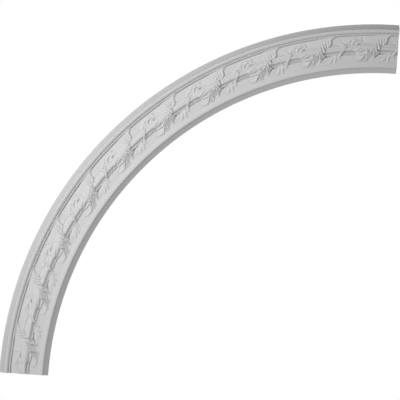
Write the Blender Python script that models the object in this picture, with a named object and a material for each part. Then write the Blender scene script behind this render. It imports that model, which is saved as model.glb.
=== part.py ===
"""One quarter of a cast ceiling ring: mouldings with an acanthus leaf wound round a rod.

The ring stands upright as if seen from straight below: its carved face looks along -Y and its flat back,
which is fixed to the ceiling, lies in the plane y = 0. The segment runs clockwise from its lower end, left
of the ring's centre, to its upper end, straight above the centre. The origin is on the flat back, halfway
along the segment and halfway across its band.

Sizes of the ring are in metres. The ornament is laid out in millimetres on one repeat: "along" runs
clockwise round the ring, "across" runs inward from the outer edge.
"""
import math

import bmesh
import bpy
import numpy as np
from mathutils import Matrix, Vector

MM = 0.001

# The ring and its band
OUTER_RADIUS = 0.7475
BAND_WIDTH = 0.0975
SEGMENT_ANGLE = math.radians(90.0)
REPEATS = 10
MIDDLE_RADIUS = OUTER_RADIUS - BAND_WIDTH / 2.0
CENTRE_X = MIDDLE_RADIUS * math.cos(SEGMENT_ANGLE / 2.0)
CENTRE_Z = -MIDDLE_RADIUS * math.sin(SEGMENT_ANGLE / 2.0)

# The section: distances across the band and heights over the back, in millimetres
EDGE_HEIGHT = 2.5
OUTER_COVE_WIDTH, OUTER_COVE_TOP, OUTER_COVE_HOLLOW = 10.6, 17.0, 1.0
CREST_AT, CREST_HEIGHT = 13.4, 19.0
CREST_ROUND = [(11.2, 17.9), (12.0, 18.6), (12.8, 18.9)]
QUIRK_AT, QUIRK_HEIGHT = 19.3, 12.4
BEAD_AT, BEAD_HEIGHT = 20.6, 15.0
FIELD_START, FIELD_HEIGHT, FIELD_END = 23.6, 10.8, 75.0
CROWN_HEIGHT, CROWN_END = 12.2, 84.4
INNER_COVE_AT, INNER_COVE_TOP, INNER_COVE_HOLLOW = 88.0, 10.4, 0.25
INNER_EDGE_HEIGHT = 1.3

# The rod that runs through the leaves, as distances from its middle and heights over the sunk field: a
# groove, a sloping fillet, the rounded rod itself, a quirk, the lower fillet and its groove
ROD_AT = 49.1
ROD_SECTION = [(-10.6, 0.0), (-9.9, -0.5), (-9.2, 0.9), (-4.9, 2.7), (-4.4, 2.4), (-2.0, 4.0),
               (-0.2, 4.5), (1.2, 4.5), (2.6, 3.8), (3.8, 2.6), (4.9, 0.8), (5.6, -0.7), (6.6, 1.5),
               (7.8, 1.4), (9.2, -0.2), (10.0, -2.0), (10.9, -2.1), (12.2, 0.0)]

# The ornament
REPEAT_LENGTH = MIDDLE_RADIUS * SEGMENT_ANGLE / REPEATS / MM
FIRST_CUT = 64.0
ROD_COVER, ROD_COVER_HALF_WIDTH = 4.2, 7.6
FULL_COVER_RELIEF = 0.5
CARVED_FROM, CARVED_TO = BEAD_AT + 0.5, FIELD_END + 3.0

# Fineness of the casting before and after it is thinned out
STEPS_PER_REPEAT = 56
FIELD_STEP = 1.1
ARC_STEPS = 6
LINE_STEPS = 6
CASTING_TRIANGLES = 9500
SHARP_EDGE = math.radians(40.0)
CUT_TOLERANCE = 1e-7


def arc_points(start, end):
    """A quarter-ellipse between two (across, height) points, level at the first, upright at the second."""
    points = []
    for step in range(1, ARC_STEPS + 1):
        turn = math.radians(90.0) * step / ARC_STEPS
        along, up = math.sin(turn), 1.0 - math.cos(turn)
        points.append((start[0] + (end[0] - start[0]) * along, start[1] + (end[1] - start[1]) * up))
    return points


def hollowed_slope(start, end, hollow):
    """A slope between two (across, height) points, slightly hollowed along its middle."""
    points = []
    for step in range(1, ARC_STEPS + 1):
        share = step / ARC_STEPS
        across, height = (a + (b - a) * share for a, b in zip(start, end))
        points.append((across, height - hollow * math.sin(math.pi * share)))
    return points


def section_line():
    """The front of the section, from the outer edge to the inner one."""
    line = [(0.0, EDGE_HEIGHT)]
    line += hollowed_slope(line[-1], (OUTER_COVE_WIDTH, OUTER_COVE_TOP), OUTER_COVE_HOLLOW)
    line += CREST_ROUND + [(CREST_AT, CREST_HEIGHT)]
    line += arc_points(line[-1], (QUIRK_AT, QUIRK_HEIGHT))
    line += [(QUIRK_AT + 0.5, BEAD_HEIGHT - 0.3), (BEAD_AT, BEAD_HEIGHT), (BEAD_AT + 1.3, BEAD_HEIGHT - 0.6)]
    line += [(FIELD_START - 0.9, FIELD_HEIGHT - 0.2), (FIELD_START, FIELD_HEIGHT - 0.9)]
    line += [(FIELD_START + 0.8, FIELD_HEIGHT - 0.2), (FIELD_START + 2.0, FIELD_HEIGHT)]
    line += [(ROD_AT + gap, FIELD_HEIGHT + rise) for gap, rise in ROD_SECTION]
    line += [(FIELD_END, FIELD_HEIGHT), (CROWN_END, CROWN_HEIGHT)]
    line += arc_points(line[-1], (INNER_COVE_AT, INNER_COVE_TOP))
    return line + hollowed_slope(line[-1], (BAND_WIDTH / MM, INNER_EDGE_HEIGHT), INNER_COVE_HOLLOW)


def fine_section():
    """The section line with its long straight stretches divided, so that the field can carry the ornament."""
    line = section_line()
    fine = [line[0]]
    for start, end in zip(line, line[1:]):
        pieces = max(1, round((end[0] - start[0]) / FIELD_STEP))
        for piece in range(1, pieces + 1):
            share = piece / pieces
            fine.append(tuple(a + (b - a) * share for a, b in zip(start, end)))
    return fine


def smooth_line(points):
    """A smooth line through a few (along, across) points."""
    knots = np.array([points[0], *points, points[-1]], dtype=float)
    line = []
    for index in range(1, len(knots) - 2):
        before, start, end, after = knots[index - 1:index + 3]
        for share in np.linspace(0.0, 1.0, LINE_STEPS, endpoint=False):
            line.append(0.5 * (2.0 * start + (end - before) * share
                               + (2.0 * before - 5.0 * start + 4.0 * end - after) * share ** 2
                               + (3.0 * start - before - 3.0 * end + after) * share ** 3))
    return np.array([*line, knots[-1]])


def spread(values, count):
    """A few values, evenly spaced from root to tip, read at count places."""
    return np.interp(np.linspace(0.0, 1.0, count), np.linspace(0.0, 1.0, len(values)), values)


def strand_height(along, across, strand):
    """Height of one rounded strand at each place; its points and sizes run from its root to its tip."""
    points, half_widths, heights, crown = strand
    line = smooth_line(points)
    halves, tops = spread(half_widths, len(line)), spread(heights, len(line))
    height = np.zeros_like(along)
    for index in range(len(line) - 1):
        start, step = line[index], line[index + 1] - line[index]
        share = ((along - start[0]) * step[0] + (across - start[1]) * step[1]) / max(step @ step, 1e-9)
        share = np.clip(share, 0.0, 1.0)
        gap = np.hypot(along - start[0] - share * step[0], across - start[1] - share * step[1])
        half = halves[index] + share * (halves[index + 1] - halves[index])
        top = tops[index] + share * (tops[index + 1] - tops[index])
        height = np.maximum(height, top * (1.0 - np.minimum(gap / half, 1.0) ** crown))
    return height


def fan(first, last, count, bend, half_widths, heights):
    """Strands spread between a first and a last one, each given as (root, tip) and bowed by the same bend."""
    strands = []
    for index in range(count):
        share = index / (count - 1)
        root, tip = ([a + (b - a) * share for a, b in zip(start, end)] for start, end in zip(first, last))
        middle = [(a + b) / 2.0 + bow for a, b, bow in zip(root, tip, bend)]
        strands.append(((root, middle, tip), half_widths, heights, 2.0))
    return strands


def main_leaf():
    """The large leaf over the rod and the step above it, with fingers hanging from its far end."""
    body = ((-22, 54), (-12, 48), (0, 43), (12, 38), (24, 33), (34, 30))
    brow = ((18, 25.5), (30, 23.2), (40, 22.8), (50, 23.6))
    edge = ((50, 23.8), (46.4, 25), (43.6, 28), (42, 33), (38, 39.4))
    strands = [(body, (2.5, 7.5, 11, 13, 12, 9), (1.0, 1.2, 1.6, 2.0, 2.5, 2.9), 3.5),
               (brow, (2.0, 3.6, 4.0, 2.0), (0.6, 2.6, 3.2, 1.8), 2.0),
               (edge, (1.4, 2.0, 2.6, 2.4, 1.4), (2.2, 3.2, 3.6, 3.4, 2.4), 2.0)]
    strands += fan(((24, 31), (29.4, 45)), ((32, 27), (37.2, 39.8)), 3, (2.0, -1.5),
                   (2, 2.5, 1.2), (2.5, 3.5, 1.7))
    strands += fan(((18, 38), (25, 57)), ((24, 32), (28, 58.4)), 2, (0.5, -1.0),
                   (2, 2.2, 1.0), (2.2, 2.9, 1.6))
    strands += fan(((-2, 47), (-22.3, 53)), ((6, 49), (-10, 60.6)), 4, (0.0, 1.2),
                   (2, 2.1, 0.8), (2.2, 2.6, 1.2))
    return strands


def turned_down_flap():
    """The part of the main leaf that is folded down over the rod, hollow on either side of its rib."""
    fold = ((0.5, 57), (6, 55.4), (11.5, 53), (15, 48.5))
    rib = ((16.5, 46), (15.8, 54), (14.8, 62), (12.8, 69.5))
    right = ((18, 49), (20, 54), (21, 60), (18.5, 66))
    left = ((1.4, 58.5), (1.8, 63), (2.6, 69))
    hollow = ((8, 58), (8.5, 63), (8.5, 68.5))
    return [(fold, (1.2, 2.8, 3.2, 1.8), (3.2, 4.9, 4.6, 3.9), 2.0),
            (rib, (1.4, 2.0, 2.0, 1.3), (3.6, 4.0, 3.8, 1.4), 1.4),
            (right, (2.0, 4.6, 4.8, 1.8), (2.8, 2.4, 2.0, 1.0), 2.4),
            (left, (1.3, 1.6, 1.5), (3.6, 3.2, 1.6), 2.0),
            (hollow, (6.0, 6.6, 6.0), (2.4, 1.8, 1.1), 5.0)]


def stem_and_upper_leaf():
    """The stem that crosses the rod on the slant, and the leaf that opens from its upper end."""
    stem = ((55.8, 69), (57, 64), (60.4, 58), (64.6, 52), (68.8, 46.4), (72.4, 42), (76, 38.4),
            (80, 35))
    foot = ((47, 64.6), (52, 62.8), (57, 59.5))
    bridge = ((86, 43), (92, 38), (98, 35.5), (105, 36))
    strands = [(stem, (1.6, 2.6, 3.4, 3.4, 3.0, 2.4, 2.0, 1.4),
                (1.2, 2.0, 2.6, 2.4, 2.0, 1.8, 1.6, 1.2), 1.6),
               (foot, (1.8, 2.4, 2.2), (0.8, 1.6, 2.2), 2.2),
               (bridge, (3.0, 4.0, 3.6, 2.2), (0.8, 1.1, 1.2, 0.9), 3.0)]
    strands += fan(((70, 46), (92, 31.5)), ((71, 47), (90, 34)), 2, (0.0, -2.5),
                   (1.6, 2.3, 0.9), (1.8, 2.4, 1.0))
    strands += fan(((69, 47), (71.8, 50.4)), ((77, 42), (82.6, 47)), 3, (1.4, -2.2),
                   (1.4, 2.2, 0.9), (1.6, 2.0, 1.0))
    return strands


def tendrils():
    """The thin tendril round the hollow, the sprig below it, and the fan that curls back under the rod."""
    vine = ((46, 24.6), (51.5, 25.6), (55, 28.6), (57.6, 34), (60.5, 38.8), (65.5, 39.6), (70, 38.2),
            (76, 33.4), (82, 30.6), (90, 29.4))
    first_lobe = ((40.5, 66), (38.6, 70), (34.4, 73.4), (27.5, 75.4))
    second_lobe = ((47, 65), (46, 70), (44.8, 76))
    curl = ((0, 60), (-5, 65.6), (-10, 70), (-15.5, 73.4), (-21, 74.6), (-26, 73.2), (-29.4, 68))
    strands = [(vine, (1.2, 1.1, 1.1, 1.4, 1.8, 2.0, 1.4),
                (0.8, 0.8, 0.8, 1.1, 1.2, 1.1, 0.7), 1.6),
               (first_lobe, (2.0, 2.5, 2.2, 0.9), (0.9, 1.4, 1.2, 0.5), 1.6),
               (second_lobe, (3.0, 2.8, 1.8), (1.4, 1.5, 0.7), 1.8),
               (curl, (1.8, 2.0, 1.8, 1.4, 0.9), (2.6, 2.2, 1.7, 1.2, 0.6), 1.6)]
    strands += fan(((22, 63.5), (38, 65)), ((17, 69.3), (35, 70)), 3, (0.0, -0.8),
                   (1.3, 1.6, 1.2), (1.1, 1.1, 0.6))
    strands += fan(((0, 61), (-12.5, 75.4)), ((0.8, 62), (-3, 75.6)), 3, (-0.4, 0.4),
                   (1.4, 1.6, 0.9), (2.5, 2.0, 0.8))
    return strands


def carved_height(along, across):
    """Height of the ornament over the back at each place, laid over a smooth swelling that hides the rod."""
    strands = main_leaf() + turned_down_flap() + stem_and_upper_leaf() + tendrils()
    relief = np.zeros_like(along)
    for turn in (-REPEAT_LENGTH, 0.0, REPEAT_LENGTH):
        for strand in strands:
            relief = np.maximum(relief, strand_height(along + turn, across, strand))
    swelling = ROD_COVER * np.exp(-((across - ROD_AT) / ROD_COVER_HALF_WIDTH) ** 4)
    covered = FIELD_HEIGHT + relief + swelling * np.minimum(relief / FULL_COVER_RELIEF, 1.0)
    return np.where(relief > 0.0, covered, 0.0)


def spin_casting():
    """The plain moulding: its closed section spun about the ring's centre, one step past both cut ends."""
    casting = bmesh.new()
    outline = [(0.0, 0.0)] + fine_section() + [(BAND_WIDTH / MM, 0.0)]
    corners = [casting.verts.new((CENTRE_X - OUTER_RADIUS + across * MM, -height * MM, CENTRE_Z))
               for across, height in outline]
    end = casting.faces.new(corners)
    step = SEGMENT_ANGLE / (REPEATS * STEPS_PER_REPEAT)
    centre = Vector((CENTRE_X, 0.0, CENTRE_Z))
    bmesh.ops.rotate(casting, verts=corners, cent=centre, matrix=Matrix.Rotation(-step, 3, "Y"))
    bmesh.ops.spin(casting, geom=[end, *end.edges, *end.verts], cent=centre, axis=(0.0, 1.0, 0.0),
                   angle=SEGMENT_ANGLE + 2.0 * step, steps=REPEATS * STEPS_PER_REPEAT + 2)
    bmesh.ops.recalc_face_normals(casting, faces=casting.faces)
    mesh = bpy.data.meshes.new("casting")
    casting.to_mesh(mesh)
    casting.free()
    return mesh


def carve(mesh):
    """Raise the field of the casting to the ornament, repeat by repeat."""
    places = np.empty(len(mesh.vertices) * 3)
    mesh.vertices.foreach_get("co", places)
    places = places.reshape(-1, 3)
    left, up = CENTRE_X - places[:, 0], places[:, 2] - CENTRE_Z
    across = (OUTER_RADIUS - np.hypot(left, up)) / MM
    along = np.arctan2(up, left) * MIDDLE_RADIUS / MM
    field = (places[:, 1] < -EDGE_HEIGHT * MM) & (across > CARVED_FROM) & (across < CARVED_TO)
    in_repeat = np.mod(along[field] + FIRST_CUT, REPEAT_LENGTH)
    spots = np.round(np.column_stack((in_repeat, across[field])), 3)
    spots, spot_of = np.unique(spots, axis=0, return_inverse=True)
    height = carved_height(*spots.T)[spot_of.ravel()]
    places[field, 1] = np.minimum(places[field, 1], -height * MM)
    mesh.vertices.foreach_set("co", places.ravel())
    mesh.update()


def thin_out(casting, collection):
    """The casting with its flat stretches in large facets and its carving in small ones."""
    rough = bpy.data.objects.new("casting", casting)
    collection.objects.link(rough)
    thinning = rough.modifiers.new("thin_out", "DECIMATE")
    thinning.ratio = CASTING_TRIANGLES / sum(len(face.vertices) - 2 for face in casting.polygons)
    seen = rough.evaluated_get(bpy.context.evaluated_depsgraph_get())
    mesh = bpy.data.meshes.new_from_object(seen)
    bpy.data.objects.remove(rough)
    return mesh


def cut_ends(mesh):
    """Cut the casting square at both ends and close the cuts."""
    casting = bmesh.new()
    casting.from_mesh(mesh)
    centre = Vector((CENTRE_X, 0.0, CENTRE_Z))
    for outward in (Vector((0.0, 0.0, -1.0)), Vector((1.0, 0.0, 0.0))):
        everything = [*casting.verts, *casting.edges, *casting.faces]
        cut = bmesh.ops.bisect_plane(casting, geom=everything, dist=CUT_TOLERANCE, plane_co=centre,
                                     plane_no=outward, clear_outer=True)
        rim = [edge for edge in cut["geom_cut"] if isinstance(edge, bmesh.types.BMEdge)]
        bmesh.ops.contextual_create(casting, geom=rim)
    bmesh.ops.triangulate(casting, faces=casting.faces)
    casting.to_mesh(mesh)
    casting.free()


def primed_material():
    """Matt white primer over the whole casting."""
    material = bpy.data.materials.new("primed_white")
    material.use_nodes = True
    surface = material.node_tree.nodes["Principled BSDF"]
    surface.inputs["Base Color"].default_value = (0.78, 0.78, 0.78, 1.0)
    surface.inputs["Roughness"].default_value = 0.6
    surface.inputs["Metallic"].default_value = 0.0
    material.diffuse_color = (0.78, 0.78, 0.78, 1.0)
    return material


def main():
    for leftover in list(bpy.data.objects):
        bpy.data.objects.remove(leftover)
    collection = bpy.data.collections.new("ceiling_ring")
    bpy.context.scene.collection.children.link(collection)

    casting = spin_casting()
    carve(casting)
    mesh = thin_out(casting, collection)
    cut_ends(mesh)
    mesh.materials.append(primed_material())
    mesh.shade_smooth()
    mesh.set_sharp_from_angle(angle=SHARP_EDGE)
    segment = bpy.data.objects.new("ceiling_ring_segment", mesh)
    collection.objects.link(segment)


main()
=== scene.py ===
import math

import bmesh
import bpy
import numpy as np
from mathutils import Matrix, Vector


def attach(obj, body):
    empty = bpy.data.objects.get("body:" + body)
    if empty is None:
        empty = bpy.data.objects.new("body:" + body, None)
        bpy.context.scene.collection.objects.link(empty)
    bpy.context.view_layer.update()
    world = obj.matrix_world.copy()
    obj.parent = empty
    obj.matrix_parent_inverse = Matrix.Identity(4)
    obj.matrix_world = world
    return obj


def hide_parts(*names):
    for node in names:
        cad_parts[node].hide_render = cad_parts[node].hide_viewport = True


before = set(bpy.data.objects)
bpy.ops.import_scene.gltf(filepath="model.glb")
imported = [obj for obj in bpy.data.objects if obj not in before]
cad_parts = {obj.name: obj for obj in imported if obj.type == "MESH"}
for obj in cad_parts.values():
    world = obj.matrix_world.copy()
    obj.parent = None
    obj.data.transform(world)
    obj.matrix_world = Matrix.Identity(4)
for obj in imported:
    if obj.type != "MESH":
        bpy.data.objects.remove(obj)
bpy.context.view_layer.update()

# The moulding under the ornament.
# A quarter of a ceiling ring, cast in one piece in stiff foam with a flat back and square-cut ends. Its
# section runs inward from the outer edge: cove, crest, ovolo, bead, sunk field with a rod, crown and cove.
MM = 0.001
OUTER_RADIUS = 0.7475
BAND_WIDTH = 97.5
MIDDLE_RADIUS = OUTER_RADIUS - BAND_WIDTH * MM / 2.0
QUARTER = math.radians(90.0)
RING_CENTRE = Vector((MIDDLE_RADIUS * math.cos(QUARTER / 2.0), 0.0, -MIDDLE_RADIUS * math.sin(QUARTER / 2.0)))
REPEATS = 10
STEPS_PER_REPEAT = 22
FIELD_CUTS = 4
FIELD_ROW = 0.85
EDGE_HEIGHT = 2.5
OUTER_COVE_WIDTH, OUTER_COVE_TOP, OUTER_COVE_HOLLOW = 11.0, 17.3, 1.1
CREST_ROUND = [(11.4, 18.0), (12.0, 18.6), (12.8, 18.9), (13.4, 19.0)]
QUIRK_AT, QUIRK_HEIGHT = 19.3, 12.4
BEAD_AT, BEAD_HEIGHT = 20.6, 15.0
FIELD_START, FIELD_HEIGHT, FIELD_END = 23.6, 10.8, 75.0
CROWN_HEIGHT, CROWN_END = 12.6, 84.4
INNER_COVE_AT, INNER_COVE_TOP, INNER_COVE_HOLLOW = 88.0, 10.4, 0.25
INNER_EDGE_HEIGHT = 1.3
CARVED_FROM, CARVED_TO = BEAD_AT + 0.5, FIELD_END + 3.0
SAME_ROW = 0.01

# The rod along the field, as distances from its middle and heights over the sunk field: a groove, a fillet, the
# rounded rod itself, a quirk, the lower fillet and its groove.
ROD_AT = 49.1
ROD_SECTION = [(-10.6, 0.0), (-9.9, -0.5), (-9.2, 0.3), (-8.6, 0.5), (-6.8, 2.2), (-6.2, 2.4), (-3.9, 2.6),
               (-3.4, 2.7), (-1.4, 4.2), (-0.4, 4.5), (1.4, 4.5), (2.6, 3.8), (3.8, 2.6), (4.9, 0.8),
               (5.6, -0.7), (6.6, 1.5), (7.8, 1.4), (9.4, 0.0), (10.2, -2.0), (11.3, -2.2), (12.6, 0.0)]


def arc_points(start, end, steps=8):
    """A quarter-ellipse between two (across, height) points, level at the first, upright at the second."""
    points = []
    for step in range(1, steps + 1):
        turn = QUARTER * step / steps
        along, up = math.sin(turn), 1.0 - math.cos(turn)
        points.append((start[0] + (end[0] - start[0]) * along, start[1] + (end[1] - start[1]) * up))
    return points


def hollowed_slope(start, end, hollow, steps=10):
    """A slope between two (across, height) points, slightly hollowed along its middle."""
    points = []
    for step in range(1, steps + 1):
        share = step / steps
        across, height = (a + (b - a) * share for a, b in zip(start, end))
        points.append((across, height - hollow * math.sin(math.pi * share)))
    return points


section = [(0.0, EDGE_HEIGHT)]
section += hollowed_slope(section[-1], (OUTER_COVE_WIDTH, OUTER_COVE_TOP), OUTER_COVE_HOLLOW)
section += CREST_ROUND
section += arc_points(section[-1], (QUIRK_AT, QUIRK_HEIGHT))
section += [(QUIRK_AT + 0.3, BEAD_HEIGHT - 0.8), (QUIRK_AT + 0.6, BEAD_HEIGHT - 0.2), (BEAD_AT, BEAD_HEIGHT)]
section += [(BEAD_AT + 0.6, BEAD_HEIGHT - 0.1), (BEAD_AT + 1.3, BEAD_HEIGHT - 0.6)]
section += [(FIELD_START - 0.9, FIELD_HEIGHT - 0.2), (FIELD_START, FIELD_HEIGHT - 0.9)]
section += [(FIELD_START + 0.8, FIELD_HEIGHT - 0.2), (FIELD_START + 2.0, FIELD_HEIGHT)]
section += [(ROD_AT + gap, FIELD_HEIGHT + rise) for gap, rise in ROD_SECTION]
section += [(FIELD_END + 1.8, FIELD_HEIGHT), (CARVED_TO - 0.5, FIELD_HEIGHT + 0.45)]
section += [(CARVED_TO, FIELD_HEIGHT + 0.55), (CROWN_END, CROWN_HEIGHT)]
section += arc_points(section[-1], (INNER_COVE_AT, INNER_COVE_TOP))
section += hollowed_slope(section[-1], (BAND_WIDTH, INNER_EDGE_HEIGHT), INNER_COVE_HOLLOW)

rows = [section[0]]
for start, end in zip(section, section[1:]):
    inside_field = end[0] > CARVED_FROM and start[0] < CARVED_TO
    pieces = max(1, round((end[0] - start[0]) / FIELD_ROW)) if inside_field else 1
    for piece in range(1, pieces + 1):
        share = piece / pieces
        rows.append((start[0] + (end[0] - start[0]) * share, start[1] + (end[1] - start[1]) * share))

casting = bmesh.new()
outline = [(0.0, 0.0)] + rows + [(BAND_WIDTH, 0.0)]
corners = [casting.verts.new((RING_CENTRE.x - OUTER_RADIUS + across * MM, -height * MM, RING_CENTRE.z))
           for across, height in outline]
end_face = casting.faces.new(corners)
bmesh.ops.spin(casting, geom=[end_face, *end_face.edges, *end_face.verts], cent=RING_CENTRE,
               axis=(0.0, 1.0, 0.0), angle=QUARTER, steps=REPEATS * STEPS_PER_REPEAT)
bmesh.ops.recalc_face_normals(casting, faces=casting.faces)


def across_of(place):
    """How far a place lies inward from the outer edge, in millimetres."""
    return (OUTER_RADIUS - math.hypot(place.x - RING_CENTRE.x, place.z - RING_CENTRE.z)) / MM


def runs_round(edge):
    """True for an edge that follows the ring round, on the carved face within the field."""
    first, second = (across_of(vert.co) for vert in edge.verts)
    raised = all(vert.co.y < -EDGE_HEIGHT * MM for vert in edge.verts)
    return raised and abs(first - second) < SAME_ROW and CARVED_FROM < first < CARVED_TO


bmesh.ops.subdivide_edges(casting, edges=[edge for edge in casting.edges if runs_round(edge)],
                          cuts=FIELD_CUTS, use_grid_fill=True)
ring_mesh = bpy.data.meshes.new("carved_ring")
casting.to_mesh(ring_mesh)
casting.free()

# The acanthus ornament.
# Modelled in low relief on the same casting, one pattern every nine degrees, running clockwise round the
# ring: a large leaf laid over the rod and folded down across it, a stem with its own leaf, and tendrils.
REPEAT_LENGTH = MIDDLE_RADIUS * QUARTER / REPEATS / MM
FIRST_CUT = 64.0
ROD_COVER, ROD_COVER_HALF_WIDTH = 4.2, 7.6
FULL_COVER_RELIEF = 0.5
LEAST_RELIEF = 0.01
DEEP_GROOVE = 0.6
SHARP_EDGE = math.radians(50.0)


def smooth_line(points, steps=6):
    """A smooth line through a few (along, across) points."""
    knots = np.array([points[0], *points, points[-1]], dtype=float)
    line = []
    for index in range(1, len(knots) - 2):
        before, start, end, after = knots[index - 1:index + 3]
        for share in np.linspace(0.0, 1.0, steps, endpoint=False):
            line.append(0.5 * (2.0 * start + (end - before) * share
                               + (2.0 * before - 5.0 * start + 4.0 * end - after) * share ** 2
                               + (3.0 * start - before - 3.0 * end + after) * share ** 3))
    return np.array([*line, knots[-1]])


def spread(values, count):
    """A few values, evenly spaced from one end to the other, read at count places."""
    return np.interp(np.linspace(0.0, 1.0, count), np.linspace(0.0, 1.0, len(values)), values)


def nearest_step(along, across, start, step):
    """Share of one straight step nearest to each place, and the offsets from there to the place."""
    share = ((along - start[0]) * step[0] + (across - start[1]) * step[1]) / max(step @ step, 1e-9)
    share = np.clip(share, 0.0, 1.0)
    return share, along - start[0] - share * step[0], across - start[1] - share * step[1]


def ridge_height(along, across, points, soft, steep, heights, crown):
    """Height of a fold that falls gently on its right-hand side and steeply on its left."""
    line = smooth_line(points)
    gentle, sharp, tops = (spread(values, len(line)) for values in (soft, steep, heights))
    height, nearest = np.zeros_like(along), np.full_like(along, np.inf)
    for index in range(len(line) - 1):
        step = line[index + 1] - line[index]
        share, aside, down = nearest_step(along, across, line[index], step)
        gap = np.hypot(aside, down)
        on_left = aside * step[1] - down * step[0] > 0.0
        half = np.where(on_left, sharp[index] + share * (sharp[index + 1] - sharp[index]),
                        gentle[index] + share * (gentle[index + 1] - gentle[index]))
        top = tops[index] + share * (tops[index + 1] - tops[index])
        here = top * (1.0 - np.minimum(gap / half, 1.0) ** crown)
        height = np.where(gap < nearest, here, height)
        nearest = np.minimum(nearest, gap)
    return height


def sheet_height(along, across, outline, level, lean_along, lean_across, low, high, edge):
    """Height of a leaning sheet inside a smooth closed outline, rounded off at its edge."""
    border = smooth_line([*outline, outline[0]], 4)[:-1]
    inside, nearest = np.zeros(along.shape, dtype=bool), np.full_like(along, np.inf)
    for start, end in zip(border, np.roll(border, -1, axis=0)):
        step = end - start
        _, aside, down = nearest_step(along, across, start, step)
        nearest = np.minimum(nearest, np.hypot(aside, down))
        if step[1] != 0.0:
            crosses = (start[1] > across) != (end[1] > across)
            inside ^= crosses & (along < start[0] + (across - start[1]) * step[0] / step[1])
    plane = np.clip(level + lean_along * along + lean_across * across, low, high)
    return np.where(inside, plane * (1.0 - (1.0 - np.minimum(nearest / edge, 1.0)) ** 2), 0.0)


# Sheets: outline, level, lean along, lean across, lowest, highest, width of the rounded edge. They lie on the
# rod. The folded sheets are the tip of the leaf, turned over the rod, with heights over the sunk field.
leaf_outline = ((-26, 24), (0, 24), (14, 25), (18, 24), (24, 21), (30, 20.5), (48, 20.5), (50, 23.2),
                (46.6, 25), (43.6, 27.2), (42.2, 29.8), (42.2, 33), (41.6, 36.4), (39, 39), (36.2, 41.2),
                (33.2, 41), (31.4, 43), (29.6, 45.8), (28.8, 49.6), (28, 52.6), (25.8, 53), (23.8, 51.4),
                (23.6, 54), (26.4, 57.4), (24.6, 58.6), (21.4, 54.6), (18, 50), (13.5, 52.5), (8, 56.4),
                (3, 58), (-1.5, 59), (-5.5, 61), (-9.5, 60.4), (-14.5, 60.6), (-19.6, 59.2), (-20, 56),
                (-23.5, 53), (-25, 46))
right_outline = ((16, 47), (20, 50), (23.5, 55.5), (26.5, 59.0), (24, 61.4), (22.0, 63.4), (20, 65.4),
                 (18, 66.6), (16.5, 68.8), (13, 70), (14.5, 62), (15.8, 54))
foot_outline = ((45.5, 63.5), (50, 61.5), (56, 57), (60, 58), (58, 64), (57, 69.5), (55, 68), (52, 66.5),
                (49.5, 66.5))
pocket_outline = ((0.3, 57.5), (8, 56), (15.8, 51), (16.4, 66), (13.5, 70.2), (9, 67.6), (2.5, 70.3),
                  (0.3, 64))
stem_leaf_outline = ((68.5, 44), (71.5, 40), (76, 36), (82, 31.5), (91, 29.5), (94.5, 31), (88, 35.0),
                     (84.4, 38.5), (82, 41.5), (79, 43), (74, 44.5))
sheets = [(leaf_outline, -1.85, 0.05, 0.075, 0.0, 1.6, 3.0),
          (leaf_outline, 0.6, 0.075, -0.045, 0.0, 2.9, 1.6),
          (stem_leaf_outline, 0.9, 0.0, 0.0, 0.0, 0.9, 4.0),
          (foot_outline, 0.2, 0.0, 0.015, 0.3, 2.0, 2.0)]
folded_sheets = [(pocket_outline, 43.0, -0.25, -0.6, 0.1, 7.2, 0.6),
                 (right_outline, 29.4, -0.27, -0.35, 1.8, 6.8, 1.0)]

# Ridges: points, gentle half widths, steep half widths, heights, crown. Each runs so that its steep side,
# the one that shows as a dark line, is on its left with the outer edge of the ring at the top. The folds are
# the lip, the rib and the left edge of the folded tip, with heights over the sunk field too.
brow = [(((24, 23.4), (30, 22.6), (36, 22.2), (43, 22.4), (49, 23)), (10, 12, 12, 3), (1.6, 2.0),
         (1.2, 2.1, 2.8, 3.0, 1.0), 1.2)]
fingers = [(((50, 23.2), (46.4, 25), (43.0, 27.2), (41.4, 29.8), (41.2, 33), (40.6, 36.2), (38.2, 38.6),
             (35.6, 40.6)),
            (6, 5.6, 5.6, 3), (2.2, 2.4), (2.0, 3.1, 3.4, 3.6, 3.4), 2.2),
           (((35.8, 28), (35.4, 33), (35.0, 38.6)), (3, 3, 2.2), (3, 3, 2), (2.6, 3.2, 3.0), 2.0),
           (((30.0, 30), (29.8, 35), (30.0, 39), (30.6, 41.8)), (2.6, 2.6, 1.8), (2.4, 2.4, 2.0),
            (2.6, 3.2, 3.0, 2.2), 2.0),
           (((24.8, 34), (25.4, 40), (26.3, 45.6), (27.0, 50.6)), (3, 2.2, 2.0), (1.6, 1.8),
            (2.4, 3.2, 3.7, 3.0), 2.0),
           (((19.4, 38), (20.2, 45), (20.6, 51.4), (23.2, 56.2), (27.2, 58.4)), (4, 3, 1.3), (1.3, 1.2),
            (2.2, 2.8, 3.2, 4.0), 2.2)]
lobes = [(((-6, 48.5), (-13, 50.5), (-17.5, 52.2), (-22.3, 54.0)), (7, 5, 2.4), (0.9, 0.8),
          (1.8, 3.0, 3.0, 1.6), 1.2),
         (((3, 51), (-3, 54.0), (-5.5, 53.0), (-8, 53.8), (-10.5, 56.2), (-12.5, 54.8), (-14.5, 56.6),
           (-19, 56.8)),
          (3.4, 3.4, 2.4), (1.2, 1.0), (2.9, 3.3, 3.2, 1.8), 1.1),
         (((3, 56), (-1.5, 59.3), (-5.5, 61.6), (-9.5, 61.2), (-14.5, 61.2), (-19.0, 60)), (6.0, 6.0, 4.4),
          (1.4, 1.2), (3.8, 4.0, 3.5, 1.6), 1.2)]
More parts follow.
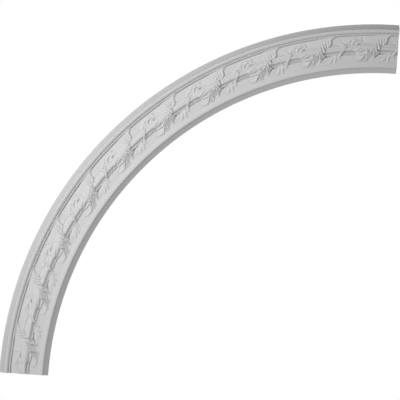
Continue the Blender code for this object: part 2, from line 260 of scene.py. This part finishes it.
lower_fan = [(((1, 60.4), (-3.6, 63.6), (-8.4, 68.0), (-13.0, 71.8), (-18.4, 72.8), (-24, 72.4),
               (-27.4, 70.4), (-29.0, 66.8)),
              (2.6, 3.4, 2.4, 1.8, 1.4), (2.6, 2.6, 1.5, 1.2), (3.9, 3.6, 2.2, 1.3, 1.1), 1.2),
             (((-3, 65), (-8.6, 70.4), (-13, 74.0), (-17.6, 75.8)), (1.6, 1.6), (1.4, 1.4),
              (2.2, 1.9, 0.9), 1.4),
             (((2, 61), (-1.5, 67), (-4.6, 71.0), (-7.6, 75.0)), (1.2, 1.3, 1.2), (1.8, 1.8, 0.8),
              (2.9, 2.4, 1.0), 1.2),
             (((1.6, 62), (0, 68), (-2.6, 72.6), (-4.6, 76)), (1.1, 1.2, 1.0), (1.6, 1.6, 0.8),
              (2.6, 2.1, 0.8), 1.2),
             (((1.8, 62), (1.2, 69), (-0.6, 75.8)), (1.1, 1.2, 1.0), (1.4, 1.5, 0.8), (2.5, 2.0, 0.8), 1.2),
             (((-7, 64), (-11.5, 67.3), (-15, 70.6), (-18, 71.8), (-19.8, 70.8), (-22.5, 72.2), (-26, 71.6),
               (-28.4, 69)),
              (6, 5, 3), (0.9, 0.9), (0.9, 1.0, 0.6), 1.1)]
stem = [(((53.2, 65.6), (55.4, 61.4), (58.4, 56.6), (61.8, 52.2), (65.6, 48), (69, 43.8), (72.6, 40),
          (77, 36)),
         (2.6, 3.6, 4.4, 4.2, 3.4, 3.0, 2.6), (1.4, 1.4, 1.6, 1.6, 1.4, 1.0),
         (0.8, 2.0, 2.6, 1.8, 1.6, 1.4, 1.3, 1.2), 2.4),
        (((57, 58.5), (52, 61.8), (47, 64)), (1.6, 1.4), (1.6, 1.4), (1.2, 1.0, 0.6), 1.6)]
stem_leaf = [(((95.4, 33.6), (91.4, 33.6), (87.6, 34.8), (84.8, 37.2), (83.2, 40.8)), (3, 5, 4, 3),
              (1.1, 1.5, 1.4), (1.4, 2.7, 3.3, 3.0, 1.6), 1.1),
             (((88, 30.4), (83.5, 30.9), (80.2, 32.2), (78.4, 35.2), (76.8, 38.0), (74.2, 41.0)), (4, 3),
              (1.1, 1.1), (0.8, 1.5, 1.7, 2.2, 2.4, 1.2), 1.1)]
vine = [(((92, 28.6), (84, 29.6), (77, 33.6), (72.4, 37.0), (69, 39.4), (65.5, 40.2), (61.6, 39.2),
          (59.2, 36.2)),
         (5, 5, 4, 2.4), (1.2, 1.6, 1.6), (0.4, 0.6, 1.2, 2.4, 2.8, 2.2, 1.0), 1.3),
        (((60.8, 31.4), (58.2, 29.2), (55, 27.0), (51.5, 25.4), (48, 24.6)), (2, 2), (0.9, 0.9),
         (0.2, 0.5, 0.6), 1.3)]
leaf_root = [(((107, 36.5), (100, 35.6), (94, 37.2), (90, 41)), (5, 5), (2.4, 2.4), (0.8, 1.2, 1.0), 1.6)]
sprigs = [(((36, 64.2), (30, 63.8), (24, 62.8)), (2.4, 2.4), (0.9, 0.8), (0.3, 0.4, 0.6), 1.1),
          (((38, 67.4), (32, 66.8), (24, 65.8), (20, 66.4)), (3, 3), (0.9, 0.9), (0.5, 0.7, 0.8), 1.1),
          (((34, 69.4), (28, 69.4), (22, 68.8), (17, 69.0)), (3, 3), (0.9, 0.9), (0.5, 0.8, 0.9), 1.1),
          (((41.4, 65.0), (39.0, 69.4), (35.8, 72.2), (31, 75.0)), (6, 6, 1.6), (1.2, 1.1),
           (1.1, 1.9, 1.8, 0.6), 1.1),
          (((49.4, 63.6), (46.8, 69), (44.8, 75.6)), (7, 7, 1.6), (1.2, 1.2), (1.4, 2.0, 1.0), 1.1)]
ridges = brow + fingers + lobes + lower_fan + stem + stem_leaf + vine + leaf_root + sprigs
folds = [(((14.4, 52.4), (12, 54.6), (8, 56.8), (4, 58.0), (0.3, 58.8)), (2.4, 3.2, 3.2, 2.4), (1.0, 1.0),
          (7.2, 8.0, 8.1, 7.8, 6.4), 1.3),
         (((17.0, 46), (17.0, 50), (16.6, 55), (16.2, 61), (15.6, 65.4), (13.6, 69.4)), (1.5, 1.5),
          (2.3, 2.3), (6.4, 7.2, 6.8, 5.4, 3.6, 1.4), 2.0),
         (((1.8, 58.6), (2.2, 64), (1.8, 70), (0.8, 74.6)), (1.8, 1.8), (1.3, 1.3),
          (6.2, 4.2, 2.2, 0.8), 3.0)]

# Cuts, laid out as the ridges are: the eye in the leaf's root, the hollows beside the folded tip's rib and
# under the tip's right edge, then the veins and the small nicks.
eye = [(((94.2, 40.7), (97, 39.9), (100, 39.5), (104, 39.3), (108, 38.9)), (0.8, 1.4, 1.4, 0.9),
        (0.8, 1.4, 1.4, 0.9), (0.8, 4.0, 3.4, 1.2, 0.5), 1.6)]
hollows = [(((13.6, 54.2), (13.6, 58.5), (13.2, 64)), (1.3, 1.3), (1.3, 1.3), (0.4, 1.6, 1.4, 0.6), 1.6),
           (((20.2, 66.2), (22.2, 64.0), (25.2, 61.9), (31, 60.0)), (1.4, 1.4), (1.4, 1.4),
            (1.0, 2.0, 2.0, 0.8), 1.6)]
veins = [(((12.5, 50.0), (10, 51.8), (8.0, 53.2), (5.4, 54.6), (2, 56.0)), (1.6, 1.6), (1.6, 1.6),
          (0.4, 1.6, 1.8, 0.6), 1.6),
         (((30.6, 42.2), (30.1, 44.0), (29.6, 46.0)), (1.5, 1.5), (1.5, 1.5), (0.8, 2.2, 0.8), 1.6),
         (((32.4, 31), (32.8, 35), (32.5, 39.5)), (1.1, 1.1), (1.1, 1.1), (0.2, 0.6, 0.3), 1.6),
         (((26.4, 31), (26.6, 36), (27.8, 40.5), (29.4, 43)), (1.1, 1.1), (1.1, 1.1),
          (0.2, 0.5, 0.5, 0.8), 1.6),
         (((23.2, 40.5), (23.3, 45), (23.8, 49.5)), (1.5, 1.5), (1.5, 1.5), (0.3, 1.3, 1.0), 1.6),
         (((103.6, 29.4), (104.4, 32), (105.4, 34.4)), (2.2, 2.2), (2.2, 2.2), (0.8, 1.8, 0.7), 1.8),
         (((111.6, 38.8), (113.4, 38.4)), (1.0, 1.0), (1.0, 1.0), (0.5, 0.5), 1.6),
         (((106.4, 34), (108.4, 39)), (0.8, 0.8), (0.8, 0.8), (0.4, 0.4), 1.6),
         (((104.5, 39.8), (112, 38.4)), (0.9, 0.9), (0.9, 0.9), (0.6, 1.0), 1.6),
         (((94.6, 35.2), (98, 35)), (0.8, 0.8), (0.8, 0.8), (0.4, 0.4), 1.6)]
nick_ends = [((10, 30), (17, 29.6)), ((7, 37.4), (14, 36.8)), ((19.4, 46), (20.8, 46.2)),
             ((29.4, 31.8), (30.6, 32.2)), ((34, 25.6), (37, 24.6))]
nicks = [(ends, (1.3, 1.3), (1.3, 1.3), (0.4, 0.4), 1.4) for ends in nick_ends]
cuts = eye + hollows + veins + nicks


def raise_near(height, along, across, reach, points, shape, sizes):
    """Raise height to one shape's own height, worked out only at the places near it."""
    low, high = np.min(points, axis=0) - reach, np.max(points, axis=0) + reach
    near = (along > low[0]) & (along < high[0]) & (across > low[1]) & (across < high[1])
    if near.any():
        height[near] = np.maximum(height[near], shape(along[near], across[near], points, *sizes))


def carved_height(along, across, plain):
    """Height of the carved face over the back at each place, given the plain section's height there."""
    relief, folded, depth = np.zeros_like(along), np.zeros_like(along), np.zeros_like(along)
    for turn in (-REPEAT_LENGTH, 0.0, REPEAT_LENGTH):
        for raised, shapes in ((relief, sheets), (folded, folded_sheets)):
            for points, *sizes in shapes:
                raise_near(raised, along + turn, across, 1.0, points, sheet_height, sizes)
        for raised, shapes in ((relief, ridges), (folded, folds), (depth, cuts)):
            for points, soft, steep, heights, crown in shapes:
                raise_near(raised, along + turn, across, max(*soft, *steep) + 1.0, points, ridge_height,
                           (soft, steep, heights, crown))
    swelling = ROD_COVER * np.exp(-((across - ROD_AT) / ROD_COVER_HALF_WIDTH) ** 4)
    covered = FIELD_HEIGHT + relief + swelling * np.minimum(relief / FULL_COVER_RELIEF, 1.0)
    carved = np.where(relief > LEAST_RELIEF, np.maximum(plain, covered), plain)
    return np.where(folded > LEAST_RELIEF, np.maximum(carved, FIELD_HEIGHT + folded), carved) - depth


# Every place on the carved face is laid out flat, as distances along and across one repeat, and raised there.
places = np.empty(len(ring_mesh.vertices) * 3)
ring_mesh.vertices.foreach_get("co", places)
places = places.reshape(-1, 3)
left_of_centre, above_centre = RING_CENTRE.x - places[:, 0], places[:, 2] - RING_CENTRE.z
across_all = (OUTER_RADIUS - np.hypot(left_of_centre, above_centre)) / MM
along_all = np.arctan2(above_centre, left_of_centre) * MIDDLE_RADIUS / MM
carved_face = (places[:, 1] < -EDGE_HEIGHT * MM) & (across_all > CARVED_FROM) & (across_all < CARVED_TO)
spots = np.column_stack((np.mod(along_all[carved_face] + FIRST_CUT, REPEAT_LENGTH), across_all[carved_face],
                         -places[carved_face, 1] / MM))
spots, spot_of = np.unique(np.round(spots, 2), axis=0, return_inverse=True)
places[carved_face, 1] = -carved_height(*spots.T)[spot_of.ravel()] * MM
ring_mesh.vertices.foreach_set("co", places.ravel())
ring_mesh.update()

# How far each place lies below its neighbours: painted shade, greying the recesses and creases where shade
# falls.
pairs = np.empty(len(ring_mesh.edges) * 2, dtype=int)
ring_mesh.edges.foreach_get("vertices", pairs)
pairs = pairs.reshape(-1, 2)
around, neighbours = np.zeros(len(places)), np.zeros(len(places))
for near_end, far_end in (pairs.T, pairs.T[::-1]):
    np.add.at(around, near_end, -places[far_end, 1] / MM)
    np.add.at(neighbours, near_end, 1.0)
# The share of painted shade at each place: full where it lies DEEP_GROOVE millimetres below its neighbours.
painted_shade_share = np.clip((around / neighbours + places[:, 1] / MM) / DEEP_GROOVE, 0.0, 1.0) * carved_face
painted_recess_shade = ring_mesh.attributes.new("painted_recess_shade", "FLOAT", "POINT")
painted_recess_shade.data.foreach_set("value", painted_shade_share.astype(np.float32))
ring_mesh.shade_smooth()
ring_mesh.set_sharp_from_angle(angle=SHARP_EDGE)
carved_ring = bpy.data.objects.new("carved_ring", ring_mesh)
bpy.context.scene.collection.objects.link(carved_ring)
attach(carved_ring, "root")
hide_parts("ceiling_ring_segment")

# The finish.
# A matt white primer sprayed in the mould, a little uneven in tone and sheen, with painted shade greying the
# grooves and recesses, over the fine grain of the foam's skin. The flat back is bare foam, creamier, rougher
# and finely pitted.
PRIMER_DARK, PRIMER_LIGHT = (0.735, 0.735, 0.735, 1.0), (0.755, 0.755, 0.755, 1.0)
# Painted shade: the grey laid into the recesses, standing in for the shade that falls there.
PAINTED_SHADE_TONE = (0.56, 0.56, 0.555, 1.0)
BARE_FOAM = (0.70, 0.665, 0.59, 1.0)
BACK_FROM, BACK_TO = -0.0006, -0.0002
LEAST_ROUGH, MOST_ROUGH = 0.56, 0.66
primer = bpy.data.materials.new("primed_white")
primer.use_nodes = True
nodes, links = primer.node_tree.nodes, primer.node_tree.links
surface = nodes["Principled BSDF"]
place_on_ring = nodes.new("ShaderNodeTexCoord")

clouds = nodes.new("ShaderNodeTexNoise")
clouds.inputs["Scale"].default_value = 14.0
clouds.inputs["Detail"].default_value = 4.0
links.new(place_on_ring.outputs["Object"], clouds.inputs["Vector"])
clean_tone = nodes.new("ShaderNodeMix")
clean_tone.data_type = "RGBA"
clean_tone.inputs["A"].default_value = PRIMER_DARK
clean_tone.inputs["B"].default_value = PRIMER_LIGHT
links.new(clouds.outputs["Fac"], clean_tone.inputs["Factor"])

# Painted shade in the recesses, read from the mesh's concavity attribute and mixed over the primer's tone.
painted_shade_node = nodes.new("ShaderNodeAttribute")
painted_shade_node.attribute_name = "painted_recess_shade"
tone_with_painted_shade = nodes.new("ShaderNodeMix")
tone_with_painted_shade.data_type = "RGBA"
tone_with_painted_shade.inputs["B"].default_value = PAINTED_SHADE_TONE
links.new(painted_shade_node.outputs["Fac"], tone_with_painted_shade.inputs["Factor"])
links.new(clean_tone.outputs["Result"], tone_with_painted_shade.inputs["A"])

depth_in_casting = nodes.new("ShaderNodeSeparateXYZ")
links.new(place_on_ring.outputs["Object"], depth_in_casting.inputs["Vector"])
on_back = nodes.new("ShaderNodeMapRange")
on_back.inputs["From Min"].default_value = BACK_FROM
on_back.inputs["From Max"].default_value = BACK_TO
links.new(depth_in_casting.outputs["Y"], on_back.inputs["Value"])
whole_tone = nodes.new("ShaderNodeMix")
whole_tone.data_type = "RGBA"
whole_tone.inputs["B"].default_value = BARE_FOAM
links.new(on_back.outputs["Result"], whole_tone.inputs["Factor"])
links.new(tone_with_painted_shade.outputs["Result"], whole_tone.inputs["A"])
links.new(whole_tone.outputs["Result"], surface.inputs["Base Color"])

sheen = nodes.new("ShaderNodeMapRange")
sheen.inputs["To Min"].default_value = LEAST_ROUGH
sheen.inputs["To Max"].default_value = MOST_ROUGH
links.new(clouds.outputs["Fac"], sheen.inputs["Value"])
links.new(sheen.outputs["Result"], surface.inputs["Roughness"])

grain = nodes.new("ShaderNodeTexNoise")
grain.inputs["Scale"].default_value = 900.0
grain.inputs["Detail"].default_value = 2.0
links.new(place_on_ring.outputs["Object"], grain.inputs["Vector"])
pits = nodes.new("ShaderNodeTexVoronoi")
pits.inputs["Scale"].default_value = 420.0
links.new(place_on_ring.outputs["Object"], pits.inputs["Vector"])
skin = nodes.new("ShaderNodeMix")
links.new(on_back.outputs["Result"], skin.inputs["Factor"])
links.new(grain.outputs["Fac"], skin.inputs["A"])
links.new(pits.outputs["Distance"], skin.inputs["B"])
fine_bump = nodes.new("ShaderNodeBump")
fine_bump.inputs["Strength"].default_value = 0.12
fine_bump.inputs["Distance"].default_value = 0.0003
links.new(skin.outputs["Result"], fine_bump.inputs["Height"])
links.new(fine_bump.outputs["Normal"], surface.inputs["Normal"])
ring_mesh.materials.append(primer)

# The room.
# A plain pale floor well below the segment, white all round, and soft square lights: four in front, mostly from
# the upper left, and two behind for the flat back.
FLOOR_SIZE, FLOOR_AT = 6.0, -1.25
WHITE = (1.0, 1.0, 1.0, 1.0)
FILL_STRENGTH = 0.19
AIMED_AT = Vector((0.05, 0.0, 0.0))
bpy.ops.mesh.primitive_plane_add(size=FLOOR_SIZE, location=(0.0, 0.0, FLOOR_AT))
floor = bpy.context.object
floor.name = "floor"
floor_paint = bpy.data.materials.new("pale_floor")
floor_paint.use_nodes = True
paint = floor_paint.node_tree.nodes["Principled BSDF"]
paint.inputs["Base Color"].default_value = (0.8, 0.8, 0.8, 1.0)
paint.inputs["Roughness"].default_value = 0.9
floor.data.materials.append(floor_paint)

world = bpy.data.worlds.new("white_room")
world.use_nodes = True
bpy.context.scene.world = world
nodes, links = world.node_tree.nodes, world.node_tree.links
nodes.clear()
seen_white = nodes.new("ShaderNodeBackground")
seen_white.inputs["Strength"].default_value = 1.0
seen_white.inputs["Color"].default_value = WHITE
soft_fill = nodes.new("ShaderNodeBackground")
soft_fill.inputs["Strength"].default_value = FILL_STRENGTH
soft_fill.inputs["Color"].default_value = WHITE
ray = nodes.new("ShaderNodeLightPath")
mix = nodes.new("ShaderNodeMixShader")
out = nodes.new("ShaderNodeOutputWorld")
links.new(ray.outputs["Is Camera Ray"], mix.inputs["Fac"])
links.new(soft_fill.outputs["Background"], mix.inputs[1])
links.new(seen_white.outputs["Background"], mix.inputs[2])
links.new(mix.outputs["Shader"], out.inputs["Surface"])

# Each light's place, watts and width.
soft_boxes = {"left": ((-1.1, -0.95, 0.1), 3.2, 0.4), "upper": ((-0.4, -0.95, 0.4), 3.5, 0.3),
              "near": ((-0.6, -0.9, -0.3), 2.6, 0.5), "right": ((0.3, -0.9, 0.2), 1.4, 0.5),
              "back_left": ((-0.9, 1.3, 0.5), 7.0, 1.0), "back_right": ((0.9, 1.3, -0.2), 5.0, 1.0)}
for name, (place, watts, size) in soft_boxes.items():
    lamp = bpy.data.objects.new(name + "_light", bpy.data.lights.new(name + "_light", "AREA"))
    lamp.data.shape = "SQUARE"
    lamp.data.size = size
    lamp.data.energy = watts
    lamp.location = place
    lamp.rotation_euler = (AIMED_AT - lamp.location).to_track_quat("-Z", "Y").to_euler()
    lamp.visible_camera = False
    bpy.context.scene.collection.objects.link(lamp)

# The camera.
# Face on with a long lens and a slight roll, placed so that the ring's centre falls as in the photograph.
PICTURE = 400.0
SENSOR_WIDTH = 36.0
CAMERA_DISTANCE = 4.0
PIXELS_PER_METRE = 502.04
RING_CENTRE_PIXEL = (373.34, 398.85)
TIP, TURN, ROLL = math.radians(-1.378), math.radians(-0.533), math.radians(-4.084)
camera = bpy.data.objects.new("camera", bpy.data.cameras.new("camera"))
camera.data.sensor_width = SENSOR_WIDTH
camera.data.lens = PIXELS_PER_METRE * CAMERA_DISTANCE / PICTURE * SENSOR_WIDTH
upright = Matrix(((1.0, 0.0, 0.0), (0.0, 0.0, 1.0), (0.0, -1.0, 0.0)))
seen = Matrix.Rotation(TIP, 3, "X") @ Matrix.Rotation(TURN, 3, "Y") @ Matrix.Rotation(ROLL, 3, "Z") @ upright
centre_in_view = Vector(((RING_CENTRE_PIXEL[0] - PICTURE / 2.0) / PIXELS_PER_METRE,
                         (PICTURE / 2.0 - RING_CENTRE_PIXEL[1]) / PIXELS_PER_METRE, -CAMERA_DISTANCE))
to_world = seen.transposed()
camera.matrix_world = Matrix.Translation(RING_CENTRE - to_world @ centre_in_view) @ to_world.to_4x4()
bpy.context.scene.collection.objects.link(camera)
bpy.context.scene.camera = camera
bpy.context.scene.view_settings.view_transform = "Standard"
